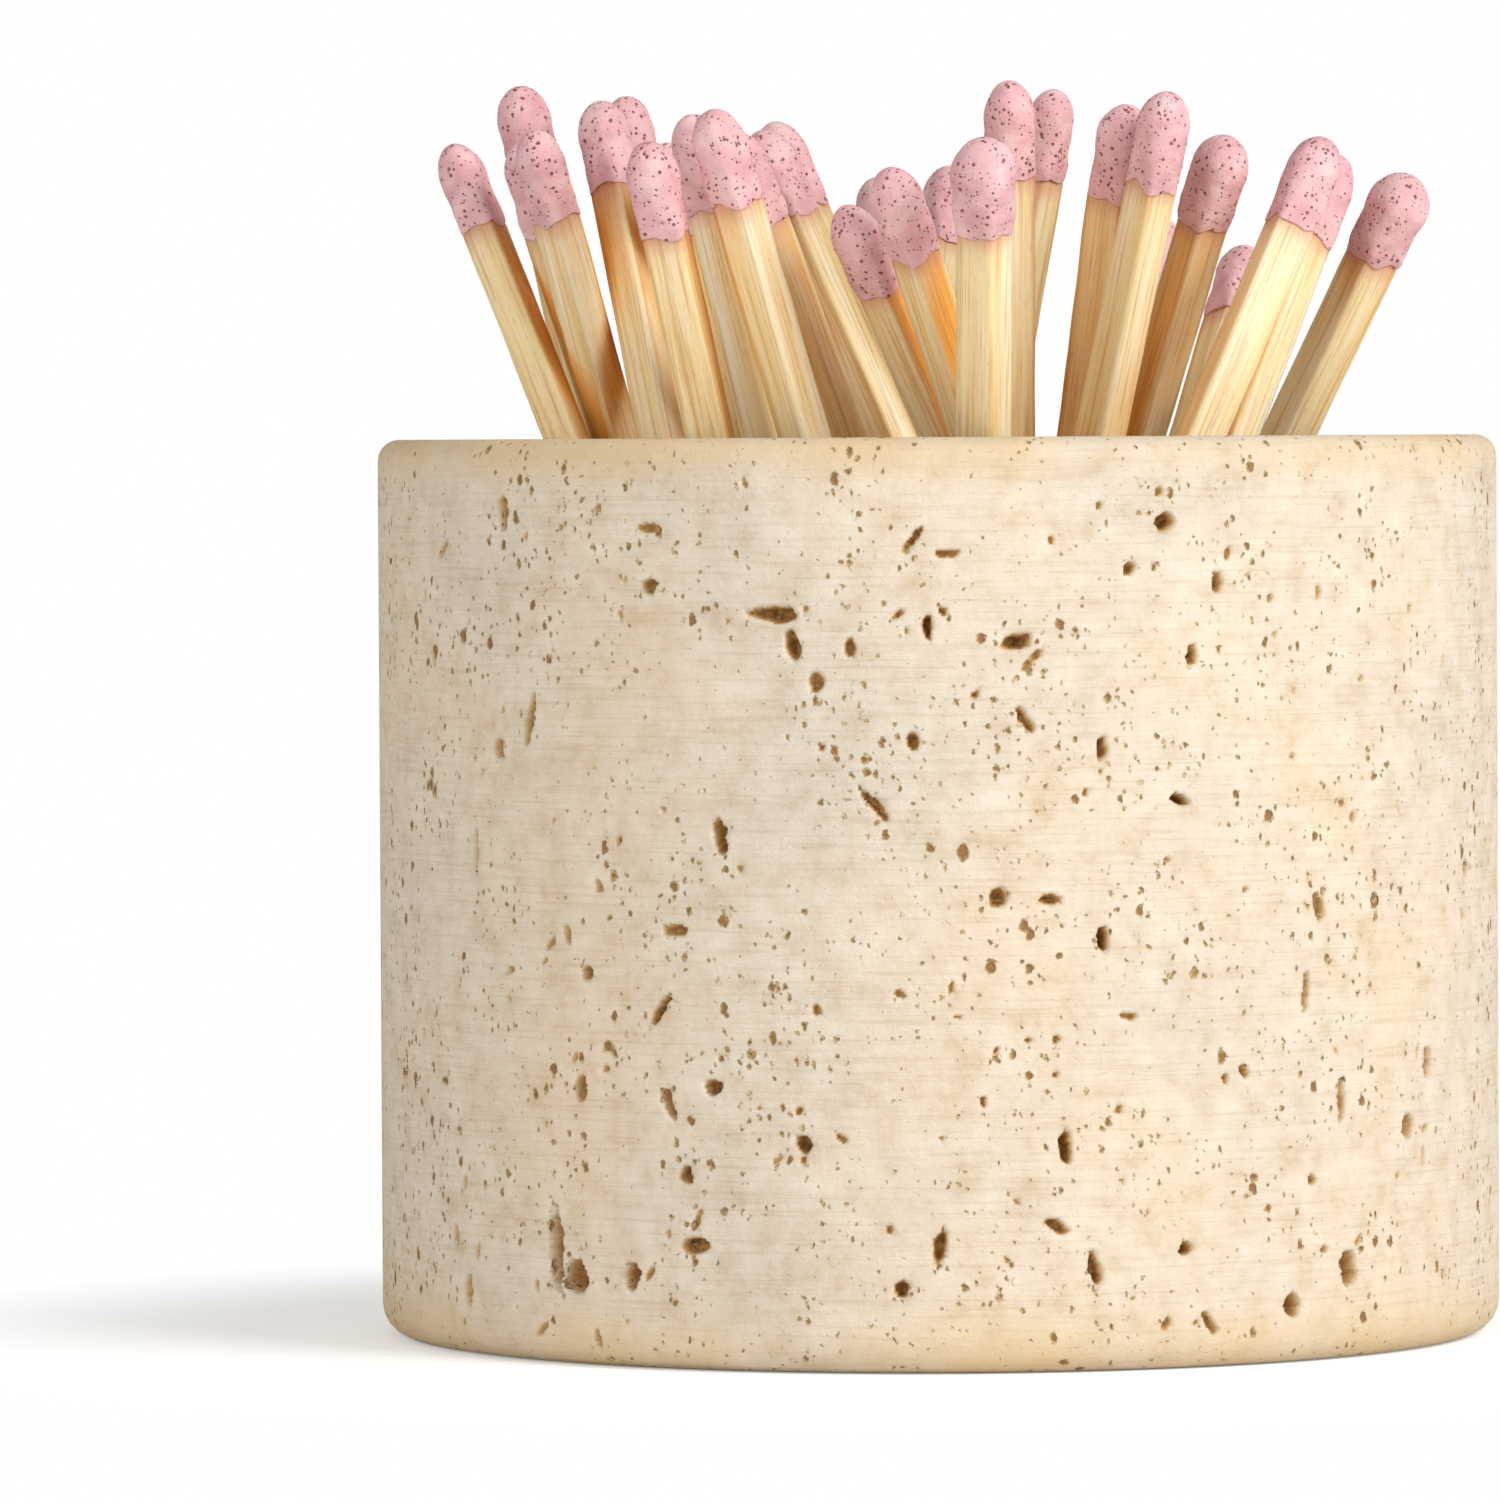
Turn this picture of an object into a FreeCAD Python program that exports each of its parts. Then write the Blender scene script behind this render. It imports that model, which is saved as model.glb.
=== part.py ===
import FreeCAD, Part
import math
import os
import Sketcher
from FreeCAD import Placement, Rotation, Vector

# A match striker: a travertine cup, turned and bored from one block, that holds square
# wooden matches with dipped heads. A match is struck on the rough stone.
# Millimetres, +Z up, origin at the middle of the cup's base. The front is towards -Y and
# the right is towards +X.

# Driving sizes, in millimetres: name, size, what it is
SIZES = [
    ("cup_width", 63.5, "outside diameter of the stone"),
    ("cup_height", 50.8, "base to rim"),
    ("wall_thickness", 9.0, "stone between the bore and the outside"),
    ("floor_thickness", 12.7, "stone under the bore"),
    ("rim_round", 1.2, "rounding of the rim's outer edge"),
    ("mouth_round", 0.9, "rounding of the rim's inner edge"),
    ("base_round", 1.8, "rounding of the base's outer edge"),
    ("bore_round", 2.5, "rounding at the foot of the bore"),
    ("match_length", 60.3, "foot to tip, head included"),
    ("splint_side", 2.1, "side of the square splint"),
    ("head_length", 5.4, "lower edge of the head to its tip"),
    ("head_cap", 2.3, "head above the end of the splint"),
    ("head_neck", 0.18, "coat on the splint at the head's lower edge"),
    ("head_coat", 0.4, "coat on the splint where the head is widest"),
    ("socket_gap", 0.02, "air between the splint and the socket in its head"),
    ("foot_gap", 0.05, "air between a match's lowest corner and the bore's floor"),
    ("side_gap", 0.12, "least air between two matches, or a match and the bore"),
]
SIZE = {name: value for name, value, meaning in SIZES}

# The cup's height when the pits' places were measured
PITS_MEASURED_ON = 50.8

# Main pits of the stone: degrees round from the front, height above the base, length,
# width, and the lean of the length from upright in degrees
PITS = [
    (-51, 48.9, 2.2, 0.8, 8),
    (-31, 48.0, 1.7, 0.6, 90),
    (-31, 44.7, 1.0, 0.9, 0),
    (-17, 43.1, 3.2, 1.0, 90),
    (-15, 41.3, 2.0, 0.9, 14),
    (-12.5, 39.2, 1.2, 1.0, 0),
    (-9, 41.2, 1.3, 0.7, 0),
    (-1, 42.4, 1.5, 0.6, 0),
    (-2.5, 47.3, 1.9, 0.5, -40),
    (1, 46.5, 1.7, 0.5, 90),
    (-2.5, 35.9, 1.2, 0.9, 0),
    (-6.5, 32.3, 2.6, 0.6, 42),
    (-47, 36.9, 3.4, 0.6, -12),
    (-52, 35.3, 1.1, 1.0, 0),
    (-78, 44.7, 5.0, 0.5, 4),
    (-23, 30.5, 2.3, 0.8, 6),
    (-56, 29.4, 2.7, 0.4, 0),
    (-28, 25.1, 1.6, 0.8, 90),
    (24, 48.2, 1.3, 1.2, 0),
    (20, 45.6, 0.8, 0.8, 0),
    (30, 44.7, 1.2, 0.7, 0),
    (8, 41.5, 2.1, 1.0, 98),
    (27, 40.6, 1.3, 0.7, 0),
    (9, 37.0, 1.9, 0.6, 36),
    (17, 35.4, 1.6, 0.7, 0),
    (25.5, 32.5, 1.3, 0.6, 70),
    (6, 27.0, 1.2, 1.0, 0),
    (11.5, 26.9, 1.5, 0.6, 90),
    (17, 24.7, 1.4, 0.8, 0),
    (43, 26.0, 1.4, 0.7, 0),
    (71, 27.8, 1.0, 1.0, 0),
    (-39, 22.6, 0.9, 0.8, 0),
    (-30, 20.5, 2.4, 0.6, -34),
    (-40, 16.0, 1.7, 0.9, 0),
    (-29, 15.3, 2.4, 0.6, 24),
    (-24, 16.2, 1.1, 1.1, 0),
    (-14, 13.1, 1.1, 1.0, 0),
    (-27, 11.2, 1.1, 0.9, 0),
    (-43.5, 6.7, 4.8, 1.1, 3),
    (-40.5, 5.0, 2.0, 1.8, 0),
    (-33.5, 5.3, 1.6, 1.0, 0),
    (-58, 3.9, 2.1, 0.8, 0),
    (-26, 7.2, 2.0, 1.2, 90),
    (0, 7.3, 2.4, 0.8, -10),
    (-4, 4.9, 1.1, 0.9, 0),
    (41, 21.3, 2.5, 0.5, -4),
    (61, 16.8, 1.9, 0.9, 0),
    (13, 12.9, 2.0, 0.8, 4),
    (46, 15.0, 2.8, 0.6, 0),
    (57, 13.2, 1.5, 1.2, 0),
    (12, 8.4, 1.7, 0.7, 60),
    (16, 5.9, 2.4, 0.7, 10),
    (26, 6.9, 0.9, 0.8, 0),
    (47, 5.3, 2.2, 1.4, 0),
    (39, 3.4, 1.4, 1.2, 0),
]

# A pit is round, not long, where its length is under this many widths
LONG_PIT = 1.45

# How far under the surface a pit's middle lies, as a share of its width
PIT_SINK = 0.2

# The pits that the unseen back has again, half a turn on and upside down
BACK_PITS = PITS[::4]

# The matches, from the front ones to those behind: where each passes the cup's mouth and
# where its foot stands, both as shares of the room in the bore, right and back being
# positive; its turn in degrees; its splint's and its coat's share of the usual size
MATCHES = [
    (-0.31, -0.82, 0.37, -0.40, 51, 1.00, 0.90),
    (0.07, -0.87, 0.69, 0.31, 37, 0.97, 0.95),
    (0.25, -0.79, 0.27, 0.05, 57, 1.09, 1.50),
    (0.57, -0.65, 0.01, 0.19, 42, 1.00, 1.30),
    (-0.03, -0.70, 0.88, 0.24, 52, 0.90, 0.90),
    (-0.69, -0.60, -0.31, 0.32, 79, 1.08, 0.70),
    (-0.45, -0.58, -0.02, 0.03, 64, 1.02, 0.90),
    (0.17, -0.58, 0.20, 0.05, 35, 1.05, 0.60),
    (-0.19, -0.53, 0.63, 0.04, 45, 1.00, 0.80),
    (0.41, -0.53, 0.18, 0.20, 55, 1.16, 0.60),
    (-0.58, -0.15, -0.19, 0.70, 68, 0.93, 0.70),
    (0.86, -0.38, 0.10, 0.40, 34, 1.07, 1.45),
    (-0.87, -0.38, -0.49, 0.54, 42, 0.97, 0.75),
    (0.24, -0.36, -0.14, 0.31, 60, 1.00, 0.65),
    (-0.15, -0.34, 0.70, -0.38, 50, 1.00, 0.90),
    (-0.92, -0.19, -0.40, 0.79, 60, 0.95, 0.75),
    (-1.00, 0.00, -0.29, -0.77, 66, 0.95, 0.75),
    (0.71, 0.05, -0.03, -0.78, 20, 1.05, 0.95),
    (-0.75, 0.00, -0.37, -0.83, 55, 1.00, 0.90),
    (-0.16, 0.00, 0.64, -0.58, 50, 1.00, 0.80),
    (0.43, -0.55, 0.09, 0.00, 45, 1.00, 0.80),
    (-0.69, -0.10, -0.43, -0.70, 30, 1.00, 0.80),
    (-0.92, 0.22, -0.66, 0.72, 40, 1.00, 1.00),
    (0.82, 0.19, 0.00, -0.99, 45, 0.98, 0.90),
    (-0.03, 0.13, -0.35, -0.93, 40, 1.00, 0.80),
    (0.47, 0.31, -0.21, -0.89, 70, 1.00, 1.00),
    (0.67, 0.31, -0.01, -0.87, 40, 1.00, 1.00),
    (0.42, 0.48, -0.16, -0.61, 30, 1.00, 0.80),
    (-0.01, 0.58, 0.49, -0.76, 45, 1.00, 0.80),
]

# How the matches settle: how much of a press each push takes away, how readily a match
# moves sideways, how strongly and for how many turns it is drawn to where it began, how
# many turns there are and the press, in millimetres, that is left
PUSH_SHARE = 0.4
SIDEWAYS_EASE = 0.15
DRAW_SHARE = 0.06
HELD_TURNS = 250
SETTLE_TURNS = 450
SETTLED = 0.02

# A head's corners reach this many half widths out, and a leaning splint's corners this many
# times as far as an upright one's
HEAD_REACH = 1.18
LEAN_REACH = 1.15

# The head's outline along its length: share of the length above the lower edge, share of
# the full coat, share of the half width that its corners are rounded by
HEAD_SECTIONS = [
    ("belly", 0.34, 0.95, 0.45),
    ("brow", 0.62, 1.00, 0.45),
]
# The dome of the head: share of the length, share of the full width, rounding
HEAD_DOME = [
    ("shoulder", 0.87, 0.80, 0.45),
    ("tip", 1.00, 0.36, 0.45),
]
NECK_ROUNDING = 0.30

doc = FreeCAD.newDocument("match_striker")


def make_sheet():
    """The spreadsheet that holds the driving sizes."""
    sheet = doc.addObject("Spreadsheet::Sheet", "sizes")
    for row, (name, value, meaning) in enumerate(SIZES, start=1):
        sheet.set(f"A{row}", meaning)
        sheet.set(f"B{row}", str(value))
        sheet.setAlias(f"B{row}", name)
    doc.recompute()


def plane(body, role):
    """An origin plane or axis of a body."""
    for feature in body.Origin.OriginFeatures:
        if feature.Role == role:
            return feature


def new_sketch(body, name, role):
    sketch = body.newObject("Sketcher::SketchObject", name)
    sketch.AttachmentSupport = [(plane(body, role), "")]
    sketch.MapMode = "FlatFace"
    return sketch


def half_profile(sketch, corners):
    """A closed outline of straight lines, each corner held by two expressions."""
    count = len(corners)
    for index, (across, up, across_size, up_size) in enumerate(corners):
        end = corners[(index + 1) % count]
        sketch.addGeometry(Part.LineSegment(Vector(across, up, 0), Vector(end[0], end[1], 0)))
    for index in range(count):
        sketch.addConstraint(Sketcher.Constraint("Coincident", index, 2, (index + 1) % count, 1))
    for index, (across, up, across_size, up_size) in enumerate(corners):
        for kind, value, size in (("DistanceX", across, across_size), ("DistanceY", up, up_size)):
            if size:
                number = sketch.addConstraint(Sketcher.Constraint(kind, -1, 1, index, 1, value))
                sketch.setExpression(f"Constraints[{number}]", size)
            else:
                flat = "PointOnObject"
                axis = -2 if kind == "DistanceX" else -1
                sketch.addConstraint(Sketcher.Constraint(flat, index, 1, axis))


def edge_at(shape, radius, height):
    """Name of the circular edge with this radius at this height."""
    for number, edge in enumerate(shape.Edges, start=1):
        circle = edge.Curve
        if not isinstance(circle, Part.Circle):
            continue
        if abs(circle.Radius - radius) < 1e-6 and abs(circle.Center.z - height) < 1e-6:
            return f"Edge{number}"


def make_stone():
    """The turned and bored cup with its four rounded edges, before its pits are cut."""
    body = doc.addObject("PartDesign::Body", "turned_stone")
    outside = SIZE["cup_width"] / 2
    bore = outside - SIZE["wall_thickness"]
    top = SIZE["cup_height"]
    floor = SIZE["floor_thickness"]
    bore_size = "sizes.cup_width / 2 - sizes.wall_thickness"
    sketch = new_sketch(body, "turned_profile", "XZ_Plane")
    half_profile(sketch, [
        (0, 0, None, None),
        (outside, 0, "sizes.cup_width / 2", None),
        (outside, top, "sizes.cup_width / 2", "sizes.cup_height"),
        (bore, top, bore_size, "sizes.cup_height"),
        (bore, floor, bore_size, "sizes.floor_thickness"),
        (0, floor, None, "sizes.floor_thickness"),
    ])
    turned = body.newObject("PartDesign::Revolution", "turning")
    turned.Profile = sketch
    turned.ReferenceAxis = (plane(body, "Z_Axis"), "")
    turned.Angle = 360
    doc.recompute()
    last = turned
    for name, size, radius, height in (
        ("rim_edge", "rim_round", outside, top),
        ("mouth_edge", "mouth_round", bore, top),
        ("base_edge", "base_round", outside, 0),
        ("bore_edge", "bore_round", bore, floor),
    ):
        rounding = body.newObject("PartDesign::Fillet", name)
        rounding.Base = (last, [edge_at(last.Shape, radius, height)])
        rounding.setExpression("Radius", f"sizes.{size}")
        doc.recompute()
        last = rounding
    return body


def make_pit(number, around, up, long, wide, lean):
    """A hollow in the outside of the stone: a ball, or a round bar lying in the wall."""
    sink = PIT_SINK * wide
    base = Vector()
    rotation = Rotation(Vector(0, 0, 1), around - 90) * Rotation(Vector(1, 0, 0), -lean)
    if long < LONG_PIT * wide:
        pit = doc.addObject("Part::Sphere", f"pit_{number:02d}")
        pit.Radius = (long + wide) / 4
    else:
        pit = doc.addObject("Part::Cylinder", f"pit_{number:02d}")
        pit.Radius = wide / 2
        pit.Height = long
        base = rotation.multVec(Vector(0, 0, -long / 2))
    pit.Placement = Placement(base, rotation)
    from_axis = f"(sizes.cup_width / 2 - {sink:.3f})"
    pit.setExpression("Placement.Base.x", f"{from_axis} * sin({around} deg) + {base.x:.3f}")
    pit.setExpression("Placement.Base.y", f"{base.y:.3f} - {from_axis} * cos({around} deg)")
    pit.setExpression("Placement.Base.z", f"sizes.cup_height * {up} / {PITS_MEASURED_ON} + {base.z:.3f}")
    return pit


def make_cup():
    """The stone with its main pits cut out."""
    stone = make_stone()
    pits = list(PITS)
    for around, up, long, wide, lean in BACK_PITS:
        pits.append((around + 180, PITS_MEASURED_ON - up, long, wide, -lean))
    hollows = doc.addObject("Part::MultiFuse", "pits")
    hollows.Shapes = [make_pit(number, *pit) for number, pit in enumerate(pits, start=1)]
    cup = doc.addObject("Part::Cut", "cup")
    cup.Base = stone
    cup.Tool = hollows
    cup.Label = "cup"
    return cup


def nearest_points(first, second):
    """The two points where two straight runs, each given by its ends, come nearest."""
    (start_a, end_a), (start_b, end_b) = first, second
    along_a, along_b, between = end_a - start_a, end_b - start_b, start_a - start_b
    aa, bb, ab = along_a.dot(along_a), along_b.dot(along_b), along_a.dot(along_b)
    a_between, b_between = along_a.dot(between), along_b.dot(between)
    slack = aa * bb - ab * ab
    share_a = 0.0
    if slack > 1e-9:
        share_a = min(1.0, max(0.0, (ab * b_between - bb * a_between) / slack))
    share_b = min(1.0, max(0.0, (ab * share_a + b_between) / bb))
    share_a = min(1.0, max(0.0, (ab * share_b - a_between) / aa))
    return start_a + along_a * share_a, start_b + along_b * share_b


class Match:
    """One match: where it stands in the bore, and how thick its two straight runs are."""

    def __init__(self, row):
        mouth_x, mouth_y, foot_x, foot_y, self.turn, self.splint_share, self.coat_share = row
        self.side = SIZE["splint_side"] * self.splint_share
        coat = SIZE["head_coat"] * self.coat_share
        splint_reach = self.side / math.sqrt(2)
        self.reaches = (splint_reach, HEAD_REACH * (self.side / 2 + coat))
        bore = SIZE["cup_width"] / 2 - SIZE["wall_thickness"]
        self.room = bore - LEAN_REACH * splint_reach - SIZE["side_gap"]
        self.floor_room = self.room - SIZE["bore_round"]
        self.mouth = Vector(mouth_x, mouth_y, 0) * self.room
        self.mouth.z = SIZE["cup_height"]
        self.foot = Vector(foot_x, foot_y, 0) * self.floor_room
        self.foot.z = SIZE["floor_thickness"]
        self.start = (self.mouth.x, self.foot.x, self.mouth.y - self.foot.y)
        self.stand()

    def stand(self):
        """Work out the match's place from the two points that its middle passes through."""
        along = (self.mouth - self.foot).normalize()
        self.rotation = Rotation(Vector(0, 0, 1), along) * Rotation(Vector(0, 0, 1), self.turn)
        side_a = self.rotation.multVec(Vector(1, 0, 0))
        side_b = self.rotation.multVec(Vector(0, 1, 0))
        corner_drop = self.side / 2 * (abs(side_a.z) + abs(side_b.z))
        start = self.foot + along * ((corner_drop + SIZE["foot_gap"]) / along.z)
        neck = start + along * (SIZE["match_length"] - SIZE["head_length"])
        tip = start + along * (SIZE["match_length"] - self.reaches[1])
        self.runs = ((start, neck), (neck, tip))
        self.placement = Placement(start, self.rotation)

    def push(self, height, shift):
        """Move the match sideways where it is pressed, kept inside the bore."""
        span = SIZE["cup_height"] - SIZE["floor_thickness"]
        share = min(1.0, max(0.0, (height - SIZE["floor_thickness"]) / span))
        self.mouth += shift * share
        self.foot += shift * (1 - share)
        self.keep_inside()

    def keep_inside(self):
        """Bring the two points back into the room that the bore leaves them."""
        for point, room in ((self.mouth, self.room), (self.foot, self.floor_room)):
            out = math.hypot(point.x, point.y)
            if out > room:
                point.x *= room / out
                point.y *= room / out

    def draw_back(self):
        """Draw the match a little towards the places to the right and the lean it began with."""
        mouth_x, foot_x, lean = self.start
        self.mouth.x += (mouth_x - self.mouth.x) * DRAW_SHARE
        self.foot.x += (foot_x - self.foot.x) * DRAW_SHARE
        lean_back = (lean - (self.mouth.y - self.foot.y)) * DRAW_SHARE / 2
        self.mouth.y += lean_back
        self.foot.y -= lean_back
        self.keep_inside()
        self.stand()


def part_pair(first, second):
    """Push two matches apart where they press on each other. Says how deep they pressed."""
    deepest = 0.0
    for run, reach in zip(first.runs, first.reaches):
        for other_run, other_reach in zip(second.runs, second.reaches):
            here, there = nearest_points(run, other_run)
            between = here - there
            need = reach + other_reach + SIZE["side_gap"]
            press = need - between.Length
            if press <= 0:
                continue
            deepest = max(deepest, press)
            away = Vector(between.x * SIDEWAYS_EASE, between.y, 0)
            if away.Length < 1e-6:
                away = Vector(0, -1, 0)
            shift = away.normalize() * (press * PUSH_SHARE)
            first.push(here.z, shift)
            second.push(there.z, shift * -1)
    return deepest


def settle_matches():
    """Stand the matches in the bore and push them apart until none presses on another."""
    matches = [Match(row) for row in MATCHES]
    for turn in range(SETTLE_TURNS):
        deepest = 0.0
        for index, first in enumerate(matches):
            for second in matches[:index]:
                press = part_pair(first, second)
                if press:
                    first.stand()
                    second.stand()
                    deepest = max(deepest, press)
        if turn < HELD_TURNS:
            for match in matches:
                match.draw_back()
        elif deepest < SETTLED:
            break
    print(f"settled in {turn + 1} turns, deepest press {deepest:.3f}")
    return matches


def make_splint(number, match):
    """The square stick, from its foot to just under the head's tip."""
    splint = doc.addObject("Part::Box", f"splint_{number:02d}")
    side = f"sizes.splint_side * {match.splint_share}"
    splint.setExpression("Length", side)
    splint.setExpression("Width", side)
    splint.setExpression("Height", "sizes.match_length - sizes.head_cap")
    half = SIZE["splint_side"] * match.splint_share / 2
    splint.Placement = match.placement * Placement(Vector(-half, -half, 0), Rotation())
    splint.Label = f"splint_{number:02d}"
    return splint


def square_sketch(body, name, up, half, rounding):
    """A square with rounded corners, across the match at the height that up says."""
    sketch = new_sketch(body, name, "XY_Plane")
    sketch.setExpression("AttachmentOffset.Base.z", up)
    flat = 1.0 - rounding if rounding else 1.0
    turns = [(1, 0), (0, 1), (-1, 0), (0, -1)]
    for out_x, out_y in turns:
        start = Vector(out_x + out_y * flat, out_y - out_x * flat, 0)
        end = Vector(out_x - out_y * flat, out_y + out_x * flat, 0)
        sketch.addGeometry(Part.LineSegment(start, end))
    for index, (out_x, out_y) in enumerate(turns):
        kind = "Vertical" if out_x else "Horizontal"
        sketch.addConstraint(Sketcher.Constraint(kind, index))
        distance = "DistanceX" if out_x else "DistanceY"
        if out_x + out_y > 0:
            number = sketch.addConstraint(Sketcher.Constraint(distance, -1, 1, index, 1, 1.0))
        else:
            number = sketch.addConstraint(Sketcher.Constraint(distance, index, 1, -1, 1, 1.0))
        sketch.setExpression(f"Constraints[{number}]", half)
    if not rounding:
        for index in range(4):
            sketch.addConstraint(Sketcher.Constraint("Coincident", index, 2, (index + 1) % 4, 1))
        return sketch
    for index in range(4):
        corner = math.radians(90 * index)
        centre = Vector(flat * math.cos(corner) - flat * math.sin(corner),
                        flat * math.sin(corner) + flat * math.cos(corner), 0)
        circle = Part.Circle(centre, Vector(0, 0, 1), rounding)
        sketch.addGeometry(Part.ArcOfCircle(circle, corner, corner + math.pi / 2))
    for index in range(4):
        sketch.addConstraint(Sketcher.Constraint("Tangent", index, 2, 4 + index, 1))
        sketch.addConstraint(Sketcher.Constraint("Tangent", 4 + index, 2, (index + 1) % 4, 1))
    for index in range(1, 4):
        sketch.addConstraint(Sketcher.Constraint("Equal", 4, 4 + index))
    number = sketch.addConstraint(Sketcher.Constraint("Radius", 4, rounding))
    sketch.setExpression(f"Constraints[{number}]", f"({half}) * {rounding}")
    return sketch


def make_head(number, match):
    """The dipped head: a rounded bulb round the end of the splint, with a square socket."""
    body = doc.addObject("PartDesign::Body", f"head_{number:02d}")
    lower = "sizes.match_length - sizes.head_length"
    splint_half = f"sizes.splint_side * {match.splint_share / 2}"
    coat = f"sizes.head_coat * {match.coat_share}"
    neck_half = f"{splint_half} + sizes.head_neck"
    neck = square_sketch(body, f"neck_{number:02d}", lower, neck_half, NECK_ROUNDING)
    sections = []
    for name, share, coat_part, rounding in HEAD_SECTIONS:
        up = f"{lower} + sizes.head_length * {share}"
        half = f"{splint_half} + {coat} * {coat_part}"
        sections.append(square_sketch(body, f"{name}_{number:02d}", up, half, rounding))
    for name, share, width_part, rounding in HEAD_DOME:
        up = f"{lower} + sizes.head_length * {share}"
        half = f"({splint_half} + {coat}) * {width_part}"
        sections.append(square_sketch(body, f"{name}_{number:02d}", up, half, rounding))
    bulb = body.newObject("PartDesign::AdditiveLoft", f"bulb_{number:02d}")
    bulb.Profile = neck
    bulb.Sections = sections
    bulb.Ruled = False
    socket = body.newObject("PartDesign::Pocket", f"socket_{number:02d}")
    socket_half = f"{splint_half} + sizes.socket_gap"
    socket.Profile = square_sketch(body, f"socket_outline_{number:02d}", lower, socket_half, 0)
    socket.setExpression("Length", "sizes.head_length - sizes.head_cap + sizes.socket_gap")
    socket.Reversed = True
    body.Tip = socket
    body.Placement = match.placement
    body.Label = f"head_{number:02d}"
    return body


def write_parts(parts):
    """Check each piece, then write it under its own name."""
    doc.recompute()
    for item in doc.Objects:
        if "Invalid" in item.State or "Error" in item.State:
            raise RuntimeError(f"{item.Name} did not build: {item.State}")
    for item in parts:
        if item.Shape.isNull() or not item.Shape.isValid() or len(item.Shape.Solids) != 1:
            raise RuntimeError(f"{item.Label} is not one valid solid")
    os.makedirs("parts", exist_ok=True)
    for item in parts:
        item.Shape.exportStep(f"parts/{item.Label}.step")
        print(f"{item.Label}: {item.Shape.Volume:.2f} mm3, {len(item.Shape.Faces)} faces")


make_sheet()
pieces = [make_cup()]
for number, match in enumerate(settle_matches(), start=1):
    pieces.append(make_splint(number, match))
    pieces.append(make_head(number, match))
write_parts(pieces)
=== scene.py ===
import math
import random

import bmesh
import bpy
import numpy as np
from mathutils import Matrix, Vector, noise
from mathutils.bvhtree import BVHTree


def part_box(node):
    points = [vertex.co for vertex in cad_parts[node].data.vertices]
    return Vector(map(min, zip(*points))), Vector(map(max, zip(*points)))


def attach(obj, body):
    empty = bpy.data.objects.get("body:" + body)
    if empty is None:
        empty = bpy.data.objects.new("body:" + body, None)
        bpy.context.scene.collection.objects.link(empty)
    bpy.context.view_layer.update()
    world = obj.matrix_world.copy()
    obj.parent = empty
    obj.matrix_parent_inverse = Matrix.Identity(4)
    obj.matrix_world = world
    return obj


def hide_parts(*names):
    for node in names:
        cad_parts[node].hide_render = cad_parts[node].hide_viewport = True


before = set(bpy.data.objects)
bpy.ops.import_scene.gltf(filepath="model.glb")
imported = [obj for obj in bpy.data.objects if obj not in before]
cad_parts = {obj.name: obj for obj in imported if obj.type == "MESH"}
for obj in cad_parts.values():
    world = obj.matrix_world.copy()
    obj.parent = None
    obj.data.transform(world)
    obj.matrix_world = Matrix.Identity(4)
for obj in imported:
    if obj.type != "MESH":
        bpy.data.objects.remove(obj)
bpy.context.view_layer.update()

# A match striker: a turned, bored and honed travertine cup full of square wooden matches
# with dipped pink heads. All lengths are in millimetres, and the meshes are scaled to metres
# at their end.
MM = 0.001

# The cup, as wide and high as the frame gives it
CUP_LOW, CUP_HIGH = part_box("cup")
CUP_RADIUS = (CUP_HIGH.x - CUP_LOW.x) / 2 / MM
CUP_HEIGHT = CUP_HIGH.z / MM
WALL = 9.0
FLOOR = 12.7
RIM_ROUND = 1.2
MOUTH_ROUND = 0.9
BASE_ROUND = 1.8
BORE_ROUND = 2.5
BORE_RADIUS = CUP_RADIUS - WALL

# The cup's mesh: cells round it and up its outside wall, then round the pits how far off and
# down to what edge length it is made finer, each time
TURN_STEPS = 350
WALL_STEP = 0.57
RIM_STEP = 0.9
BORE_STEP = 1.5
FLAT_STEP = 4.0
REFINING = ((0.42, 0.4), (0.2, 0.2))

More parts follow.
